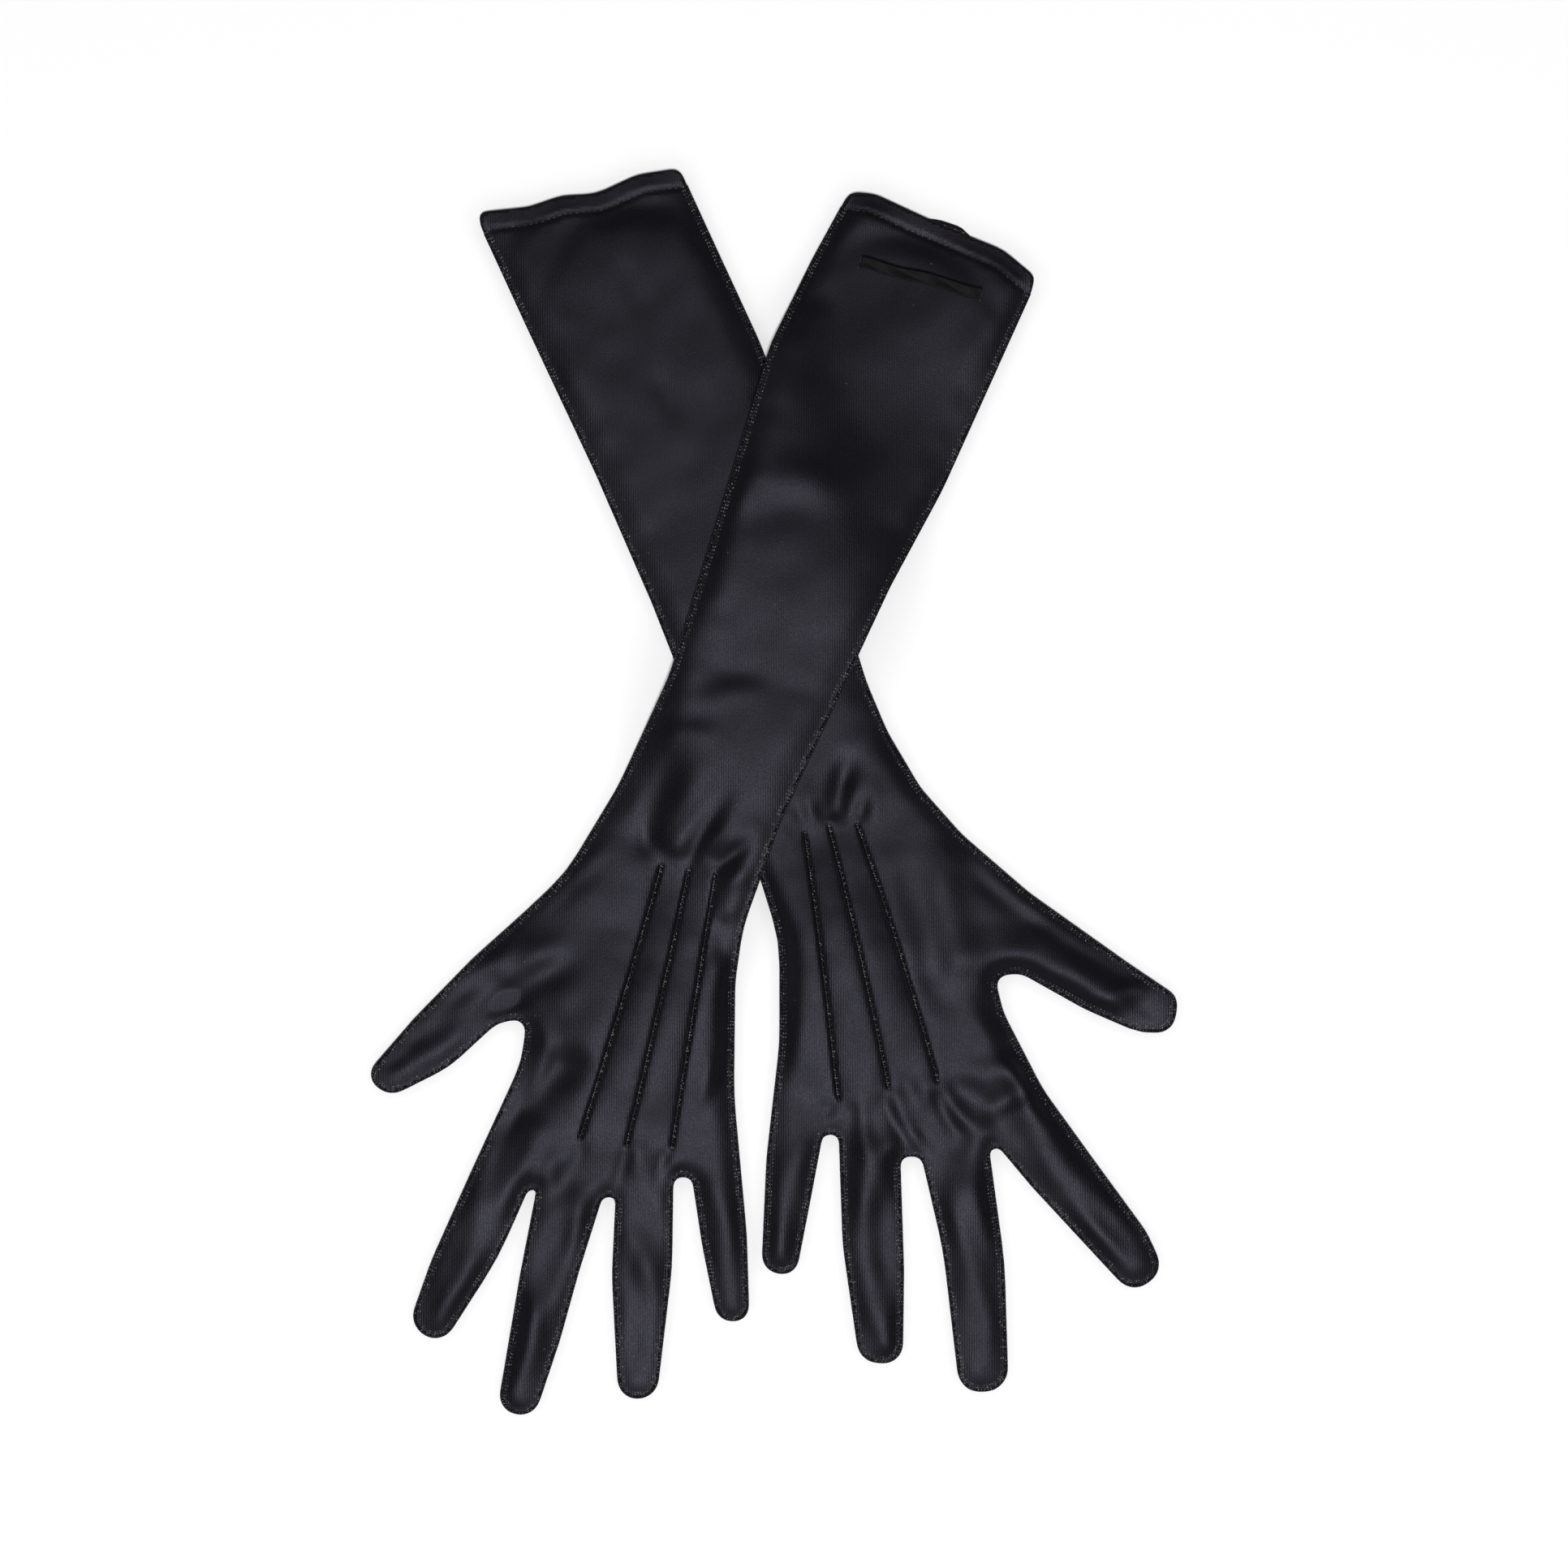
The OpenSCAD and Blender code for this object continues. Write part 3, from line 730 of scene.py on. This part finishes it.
def stitches(centres, directions, half, thick):
    """Vertices and faces of one stitch at each centre, along each direction."""
    shape, shape_faces = STITCH
    x = directions / np.linalg.norm(directions, axis=1, keepdims=True)
    up = np.tile([0.0, 0.0, 1.0], (len(x), 1))
    y = np.cross(up, x)
    y /= np.linalg.norm(y, axis=1, keepdims=True) + 1e-12
    z = np.cross(x, y)
    half = np.broadcast_to(np.asarray(half, float), (len(x),))
    verts = (centres[:, None] + shape[None, :, :1] * half[:, None, None] * x[:, None]
             + shape[None, :, 1:2] * thick * y[:, None] + shape[None, :, 2:] * thick * z[:, None])
    n = len(shape)
    faces = [tuple(i + k * n for i in f) for k in range(len(x)) for f in shape_faces]
    return verts.reshape(-1, 3), faces


def joined(parts):
    """Several (verts, faces) as one."""
    verts, faces, start = [], [], 0
    for v, f in parts:
        verts.append(v)
        faces += [tuple(i + start for i in face) for face in f]
        start += len(v)
    return np.vstack(verts), faces


def surface_z(tree, xy, fallback):
    """The height of the cloth at each point, or of the cloth nearest to the fallback height."""
    out = np.full(len(xy), fallback)
    for k, (x, y) in enumerate(xy):
        hit = tree.ray_cast(Vector((x, y, 0.05)), Vector((0, 0, -1)))[0]
        if hit is None:
            hit = tree.find_nearest(Vector((x, y, fallback)))[0]
        out[k] = hit.z
    return out


def stitch_row(g, line, row, seed, jitter=0.12, rise=0.3):
    """A row of stitches along a line on the back cloth, lifted by rise times their half thickness."""
    pitch, half, thick = (size * MM for size in row[:3])
    slant, offset = row[3], row[4] * MM
    rng = np.random.default_rng(seed)
    path = even(line, pitch)
    n = left_normals(path)
    t = tangents(path)
    wobble = rng.uniform(-jitter, jitter, (len(path), 3))
    xy = path + n * (offset + wobble[:, :1] * half) + t * wobble[:, 1:2] * half
    z = surface_z(g.back_tree, xy, RIM)
    a = slant + wobble[:, 2] * 1.5
    d = t * np.cos(a)[:, None] + n * np.sin(a)[:, None]
    step = 0.6 * MM
    ahead = surface_z(g.back_tree, xy + d * step, RIM)
    behind = surface_z(g.back_tree, xy - d * step, RIM)
    slope = (ahead - behind) / (2 * step)
    directions = np.column_stack((d, np.clip(slope, -0.8, 0.8)))
    centres = np.column_stack((xy, z + thick * rise))
    return stitches(centres, directions, half, thick)


def open_edge(g):
    """The glove's edge without its mouth, from one cuff corner round the fingers to the other."""
    a, b = sorted(closest(g.loop, end) for end in (g.hem[0], g.hem[-1]))
    inner = g.loop[a:b + 1]
    outer = np.vstack((g.loop[b:], g.loop[:a + 1]))
    return max(inner, outer, key=len)


def tube(path, radius, sides=6):
    """A thin round cord along a 3-D path."""
    t = tangents(path)
    side = np.cross(t, [0, 0, 1.0])
    side /= np.linalg.norm(side, axis=1, keepdims=True) + 1e-12
    up = np.cross(side, t)
    a = np.linspace(0, 2 * math.pi, sides, endpoint=False)
    ring = np.cos(a)[None, :, None] * side[:, None] + np.sin(a)[None, :, None] * up[:, None]
    verts = (path[:, None] + radius * ring).reshape(-1, 3)
    faces = []
    for r in range(len(path) - 1):
        for k in range(sides):
            k2 = (k + 1) % sides
            faces.append((r * sides + k, (r + 1) * sides + k, (r + 1) * sides + k2, r * sides + k2))
    faces.append(tuple(range(sides)))
    faces.append(tuple((len(path) - 1) * sides + k for k in reversed(range(sides))))
    return verts, faces


def edge_seam(g):
    """The whipped seam: a fine bead along the edge and three rows of slanted stitches."""
    edge = open_edge(g)
    seed = SIDES.index(g.side) * 20
    z = surface_z(g.back_tree, edge, RIM)
    n = left_normals(edge)
    bead = np.column_stack((edge + n * 0.15 * MM, z - 0.1 * MM))
    parts = [tube(bead, CORD)]
    bead_faces = len(parts[0][1])
    parts += [stitch_row(g, edge, row, seed + k) for k, row in enumerate(EDGE_ROWS, 1)]
    obj = mesh_object(f"{g.side}_edge_stitches", *joined(parts))
    obj["cloth_faces"] = bead_faces
    return obj


def point_piece(g, name):
    """One point: the pinched ridge of cloth and the two rows of stitches that hold it."""
    line = g.points[name]
    seed = POINTS.index(name) + 7 * SIDES.index(g.side)
    path = even(line, 0.7 * MM)
    z = surface_z(g.back_tree, path, CROWN)
    ripple = 0.08 * MM * np.sin(np.arange(len(path)) * 2.1)
    n = left_normals(path)
    ridge = np.column_stack((path + n * ripple[:, None], z + 0.15 * MM))
    parts = [tube(ridge, CORD, 8)]
    ridge_faces = len(parts[0][1])
    parts.append(stitch_row(g, path, RIDGE_ROW, seed, rise=4.2))
    parts.append(stitch_row(g, path, BESIDE_RIDGE_ROW, seed + 50, rise=1.0))
    obj = mesh_object(f"{g.side}_point_{name}_ridge", *joined(parts))
    obj["cloth_faces"] = ridge_faces
    return obj


def hem_piece(g):
    """The dotted row that holds the turned-in hem, on the back and on the palm side."""
    parts = [stitch_row(g, g.hem, HEM_ROW, 31, jitter=0.2, rise=0.6)]
    under = even(g.hem, HEM_ROW[0] * MM)
    centres = np.column_stack((under, np.full(len(under), 0.3 * MM)))
    directions = np.column_stack((tangents(under), np.zeros(len(under))))
    parts.append(stitches(centres, directions, 0.7 * MM, 0.12 * MM))
    return mesh_object(f"{g.side}_hem_stitches", *joined(parts))


def fork_piece(g):
    """A few short bars of thread side by side over each fork."""
    parts = []
    for f in g.forks:
        rim = g.loop[closest(g.loop, f)]
        out = (rim - f) / np.linalg.norm(rim - f)
        across = np.array([-out[1], out[0]])
        for k in (-1, 0, 1):
            xy = (rim - out * 2.1 * MM + across * k * 0.9 * MM)[None]
            z = surface_z(g.back_tree, xy, RIM) + 0.08 * MM
            centre = np.column_stack((xy, z))
            parts.append(stitches(centre, np.array([[*out, 0.0]]), 0.8 * MM, 0.13 * MM))
    return mesh_object(f"{g.side}_fork_threads", *joined(parts))


# ------------ materials
def nodes_of(name):
    """A new material, its node tree and its main shader."""
    mat = bpy.data.materials.new(name)
    mat.use_nodes = True
    tree = mat.node_tree
    return mat, tree, tree.nodes["Principled BSDF"]


def add(tree, kind, **values):
    """A shader node with its settings, and its inputs set to values or linked to outputs."""
    node = tree.nodes.new(kind)
    for key, value in values.items():
        if not key.startswith("in_"):
            setattr(node, key, value)
            continue
        slot = key[3:]
        socket = node.inputs[int(slot) if slot.isdigit() else slot]
        if isinstance(value, bpy.types.NodeSocket):
            tree.links.new(value, socket)
        else:
            socket.default_value = value
    return node


def ramp(tree, source, stops):
    """A colour ramp on the source, with (place, colour) stops."""
    node = tree.nodes.new("ShaderNodeValToRGB")
    el = node.color_ramp.elements
    el[0].position, el[0].color = stops[0][0], (*stops[0][1], 1)
    el[1].position, el[1].color = stops[-1][0], (*stops[-1][1], 1)
    for place, colour in stops[1:-1]:
        e = el.new(place)
        e.color = (*colour, 1)
    tree.links.new(source, node.inputs[0])
    return node


def satin(name, dark, light, rough):
    """Black stretch satin: fine knit ribs, a speckled grain, slow colour drift and specks of lint."""
    mat, tree, shader = nodes_of(name)
    link = tree.links.new
    place = add(tree, "ShaderNodeTexCoord").outputs["Object"]
    grain = add(tree, "ShaderNodeTexNoise", in_Vector=place, in_Scale=1700.0, in_Detail=2.0,
                in_Roughness=0.6)
    drift = add(tree, "ShaderNodeTexNoise", in_Vector=place, in_Scale=28.0, in_Detail=3.0)
    lint = add(tree, "ShaderNodeTexVoronoi", in_Vector=place, in_Scale=260.0)
    rib = add(tree, "ShaderNodeTexWave", in_Vector=place, in_Scale=340.0, in_Distortion=2.0,
              in_Detail=1.0)
    rib.inputs["Detail Scale"].default_value = 3.0
    half = add(tree, "ShaderNodeMath", operation="MULTIPLY", in_0=drift.outputs["Fac"], in_1=0.45)
    mixed = add(tree, "ShaderNodeMath", operation="MULTIPLY_ADD", in_0=grain.outputs["Fac"],
                in_1=0.55, in_2=half.outputs[0])
    colour = ramp(tree, mixed.outputs[0], [(0.34, dark), (0.66, light)])
    speck = ramp(tree, lint.outputs["Distance"], [(0.035, (1, 1, 1)), (0.07, (0, 0, 0))])
    rare = add(tree, "ShaderNodeTexNoise", in_Vector=place, in_Scale=90.0)
    rare_mask = ramp(tree, rare.outputs["Fac"], [(0.60, (0, 0, 0)), (0.66, (1, 1, 1))])
    both = add(tree, "ShaderNodeMath", operation="MULTIPLY", in_0=speck.outputs["Color"],
               in_1=rare_mask.outputs["Color"])
    lighter = add(tree, "ShaderNodeMix", data_type="RGBA", in_Factor=both.outputs[0],
                  in_6=colour.outputs["Color"], in_7=(0.10, 0.10, 0.12, 1))
    link(lighter.outputs[2], shader.inputs["Base Color"])
    gloss = ramp(tree, mixed.outputs[0], [(0.3, (rough - 0.08,) * 3), (0.7, (rough + 0.08,) * 3)])
    link(gloss.outputs["Color"], shader.inputs["Roughness"])
    height = add(tree, "ShaderNodeMath", operation="MULTIPLY_ADD", in_0=rib.outputs["Fac"],
                 in_1=0.5, in_2=grain.outputs["Fac"])
    bump = add(tree, "ShaderNodeBump", in_Strength=0.6, in_Distance=0.00009,
               in_Height=height.outputs[0])
    link(bump.outputs["Normal"], shader.inputs["Normal"])
    shader.inputs["Specular IOR Level"].default_value = 0.182
    shader.inputs["Specular Tint"].default_value = (0.80, 0.78, 1.0, 1)
    return mat


def woven(name, ribs, spots, bump, rough, specular):
    """A material with fine ribs in its bump and small spots in its colour.
    spots: (kind of texture, its output, its settings, colour stops); bump: (strength, depth)."""
    mat, tree, shader = nodes_of(name)
    place = add(tree, "ShaderNodeTexCoord").outputs["Object"]
    rib = add(tree, "ShaderNodeTexWave", in_Vector=place, **ribs)
    kind, output, settings, stops = spots
    spot = add(tree, kind, in_Vector=place, **settings)
    colour = ramp(tree, spot.outputs[output], stops)
    bumps = add(tree, "ShaderNodeBump", in_Strength=bump[0], in_Distance=bump[1],
                in_Height=rib.outputs["Fac"])
    tree.links.new(colour.outputs["Color"], shader.inputs["Base Color"])
    tree.links.new(bumps.outputs["Normal"], shader.inputs["Normal"])
    shader.inputs["Roughness"].default_value = rough
    shader.inputs["Specular IOR Level"].default_value = specular
    return mat


def thread(name, dark, light, rough, specular):
    """Black twisted thread: fine bands of ply along each stitch, and random lighter patches painted on
    as glints of light.
    """
    ply = {"in_Scale": 900.0, "in_Distortion": 3.0, "in_Detail": 1.0}
    # painted highlight: the light stop turns random stitch-sized patches of the black thread grey,
    # standing in for glints of light
    painted_glints = ("ShaderNodeTexNoise", "Fac", {"in_Scale": 700.0, "in_Detail": 1.0},
            [(0.50, dark), (0.64, light)])
    return woven(name, ply, painted_glints, (0.4, 0.00008), rough, specular)


SATIN = satin("satin", (0.0002, 0.0002, 0.0003), (0.0012, 0.0011, 0.0014), 0.435)
# the light colours of the threads are painted glints of light on black thread
EDGE_THREAD = thread("edge_thread", (0.003, 0.003, 0.004), (0.20, 0.20, 0.195), 0.35, 0.4)
POINT_THREAD = thread("point_thread", (0.004, 0.004, 0.005), (0.17, 0.17, 0.175), 0.35, 0.5)
SEWING_THREAD = thread("sewing_thread", (0.010, 0.010, 0.012), (0.070, 0.070, 0.075), 0.40, 0.4)

# dull black ribbon, with fine cross ribs
RIBBON = woven("ribbon", {"in_Scale": 420.0, "in_Distortion": 0.6},
               ("ShaderNodeTexNoise", "Fac", {"in_Scale": 1200.0},
                [(0.35, (0.0010, 0.0010, 0.0013)), (0.7, (0.0035, 0.0034, 0.0042))]),
               (0.5, 0.0001), 0.58, 0.11)
# black woven tape, with a plain gold basket pattern
LABEL = woven("label", {"in_Scale": 330.0, "in_Distortion": 1.5},
              ("ShaderNodeTexVoronoi", "Distance", {"in_Scale": 620.0},
               [(0.30, (0.30, 0.20, 0.06)), (0.40, (0.006, 0.006, 0.007))]),
              (0.5, 0.0001), 0.55, 0.3)


# ------------ trim pieces
def strip_of(node):
    """A flat strip's middle, its directions along and across, half its length, half its width
    and its highest place."""
    corners = merged(node)
    co = np.array([v.co[:] for v in corners.verts])
    corners.free()
    plan = co[:, :2]
    middle = plan.mean(axis=0)
    axes = np.linalg.eigh(np.cov((plan - middle).T))[1]
    along = axes[:, 1] * np.sign(axes[0, 1])
    across = np.array([-along[1], along[0]])
    half = ((plan - middle) @ along).max()
    wide = ((plan - middle) @ across).max()
    return middle, along, across, half, wide, co[:, 2].max()


def grid_faces(rows, columns):
    """The faces between the corners of a grid, whose corners are listed row by row."""
    starts = [i * columns + j for i in range(rows - 1) for j in range(columns - 1)]
    return [(k, k + columns, k + columns + 1, k + 1) for k in starts]


def keeper_loop():
    """The narrow ribbon across the left cuff, held at its ends and a little wavy between."""
    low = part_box("left_keeper_loop")[0]
    middle, along, across, half, wide, _ = strip_of("left_keeper_loop")
    u = np.linspace(-1, 1, 97)
    v = np.linspace(-1, 1, 9)
    verts = []
    for a in u:
        held = smooth_step(np.array((1 - abs(a)) / 0.12))
        for b in v:
            sway = 0.35 * MM * math.sin(5.1 * a + 0.7) * held
            curl = 0.30 * MM * b * b + 0.25 * MM * math.sin(9 * a + 2.0 * b) * held
            xy = middle + along * a * half + across * (b * wide * 0.96 + sway)
            verts.append((*xy, low.z + 0.1 * MM + (0.45 * MM * held + curl) * held + curl * 0.2))
    obj = mesh_object("left_keeper_ribbon", verts, grid_faces(len(u), len(v)))
    finish_sheet(obj, 0.4 * MM, 1)
    return obj, middle, along, across, half


def loop_tacks(g, middle, along, across, half):
    """The thread bars at the ribbon's two ends."""
    rng = np.random.default_rng(5)
    parts = []
    for end in (-1, 1):
        for k in range(6):
            reach = half + rng.uniform(-0.6, 0.5) * MM
            spot = middle + along * end * reach + across * (k - 2.5) * 0.75 * MM
            z = surface_z(g.back_tree, spot[None], CROWN) + 0.5 * MM
            a = rng.uniform(-0.5, 0.5)
            d = across * math.cos(a) + along * math.sin(a)
            parts.append(stitches(np.column_stack((spot[None], z)), np.array([[*d, 0.0]]),
                                  rng.uniform(0.6, 1.2) * MM, 0.14 * MM))
    return mesh_object("left_loop_threads", *joined(parts))


def label_piece():
    """The woven label inside the left mouth, slightly curled."""
    middle, along, across, half, wide, top = strip_of("left_label")
    verts = []
    u, v = np.linspace(-1, 1, 25), np.linspace(-1, 1, 17)
    for a in u:
        for b in v:
            xy = middle + along * a * half + across * b * wide
            verts.append((*xy, top - 0.25 * MM + 0.12 * MM * math.sin(4 * a + 1) * b))
    obj = mesh_object("left_woven_label", verts, grid_faces(len(u), len(v)))
    finish_sheet(obj, 0.25 * MM, 0)
    rim = [middle + along * a * half * 0.92 + across * b * wide * 0.9
           for a, b in ((-1, -1), (1, -1), (1, 1), (-1, 1), (-1, -1))]
    path = even(np.array(rim), 1.4 * MM)
    centres = np.column_stack((path, np.full(len(path), top - 0.05 * MM)))
    directions = np.column_stack((tangents(path), np.zeros(len(path))))
    sewn = stitches(centres, directions, 0.45 * MM, 0.12 * MM)
    return obj, mesh_object("left_label_threads", *sewn)


# ------------ the whole object
def dress(obj, material, body, slot, *replaced):
    """Material, body, finish (not used) and the CAD nodes that a piece stands for."""
    obj.data.materials.clear()
    obj.data.materials.append(material)
    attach(obj, body)
    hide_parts(*replaced)
    return obj


def partly_cloth(obj):
    """Gives the piece's first faces, its rolled cloth, the satin."""
    obj.data.materials.append(SATIN)
    for poly in obj.data.polygons[:obj["cloth_faces"]]:
        poly.material_index = 1


def build_glove(side):
    """All of one glove but its label and ribbon: its plan, its back panel and its palm panel."""
    g = Glove(side)
    g.hem = hem_line(g)
    back = dress(back_panel(g), SATIN, g.body, "black_satin", f"{side}_back_panel")
    palm = dress(palm_panel(g), SATIN, g.body, "black_satin", f"{side}_palm_panel")
    partly_cloth(dress(edge_seam(g), EDGE_THREAD, g.body, "edge_thread", f"{side}_edge_seam"))
    for name in POINTS:
        piece = dress(point_piece(g, name), POINT_THREAD, g.body, "point_thread", f"{side}_point_{name}")
        partly_cloth(piece)
    dress(hem_piece(g), SEWING_THREAD, g.body, "sewing_thread", f"{side}_hem_stitching")
    dress(fork_piece(g), SEWING_THREAD, g.body, "sewing_thread", f"{side}_fork_tacks")
    return g, back, palm


_, right_back, right_palm = build_glove("right")
left, left_back, left_palm = build_glove("left")

ribbon, *place = keeper_loop()
dress(ribbon, RIBBON, "keeper_loop", "black_ribbon", "left_keeper_loop")
dress(loop_tacks(left, *place), SEWING_THREAD, "left_glove", "sewing_thread", "left_loop_tacks")
label, label_thread = label_piece()
dress(label, LABEL, "left_glove", "woven_label", "left_label")
dress(label_thread, SEWING_THREAD, "left_glove", "sewing_thread", "left_label_stitching")

# ------------ stage
floor_mesh = mesh_object("floor", [(-3, -3, 0), (3, -3, 0), (3, 3, 0), (-3, 3, 0)], [(0, 1, 2, 3)])
floor_mat, _, floor_shader = nodes_of("floor")
floor_shader.inputs["Base Color"].default_value = (0.93, 0.93, 0.93, 1)
floor_shader.inputs["Roughness"].default_value = 0.9
floor_shader.inputs["Specular IOR Level"].default_value = 0.0
floor_mesh.data.materials.append(floor_mat)


def area_light(name, place, size, power):
    """A round white lamp turned to the middle of the floor."""
    data = bpy.data.lights.new(name, "AREA")
    data.shape = "DISK"
    data.size = size
    data.energy = power
    obj = bpy.data.objects.new(name, data)
    obj.location = place
    obj.rotation_euler = (-Vector(place)).to_track_quat("-Z", "Y").to_euler()
    bpy.context.scene.collection.objects.link(obj)


area_light("overhead", LAMP_PLACE, LAMP_SIZE, LAMP_POWER)
for k in range(RING_LIGHTS):
    turn = 2 * math.pi * (k + 0.5) / RING_LIGHTS
    place = (RING_RADIUS * math.cos(turn), RING_RADIUS * math.sin(turn), RING_HEIGHT)
    area_light(f"ring_{k}", place, RING_SIZE, RING_POWER)

world = bpy.data.worlds.new("studio")
world.use_nodes = True
world.node_tree.nodes["Background"].inputs["Color"].default_value = (1, 1, 1, 1)
world.node_tree.nodes["Background"].inputs["Strength"].default_value = WORLD_LIGHT
bpy.context.scene.world = world
bpy.context.scene.view_settings.view_transform = "Standard"

camera = bpy.data.cameras.new("camera")
camera.sensor_width = 36.0
camera.lens = 118.3
camera.clip_end = 20
camera_obj = bpy.data.objects.new("camera", camera)
camera_obj.location = (0.0041, 0.0028, 2.0)
bpy.context.scene.collection.objects.link(camera_obj)
bpy.context.scene.camera = camera_obj
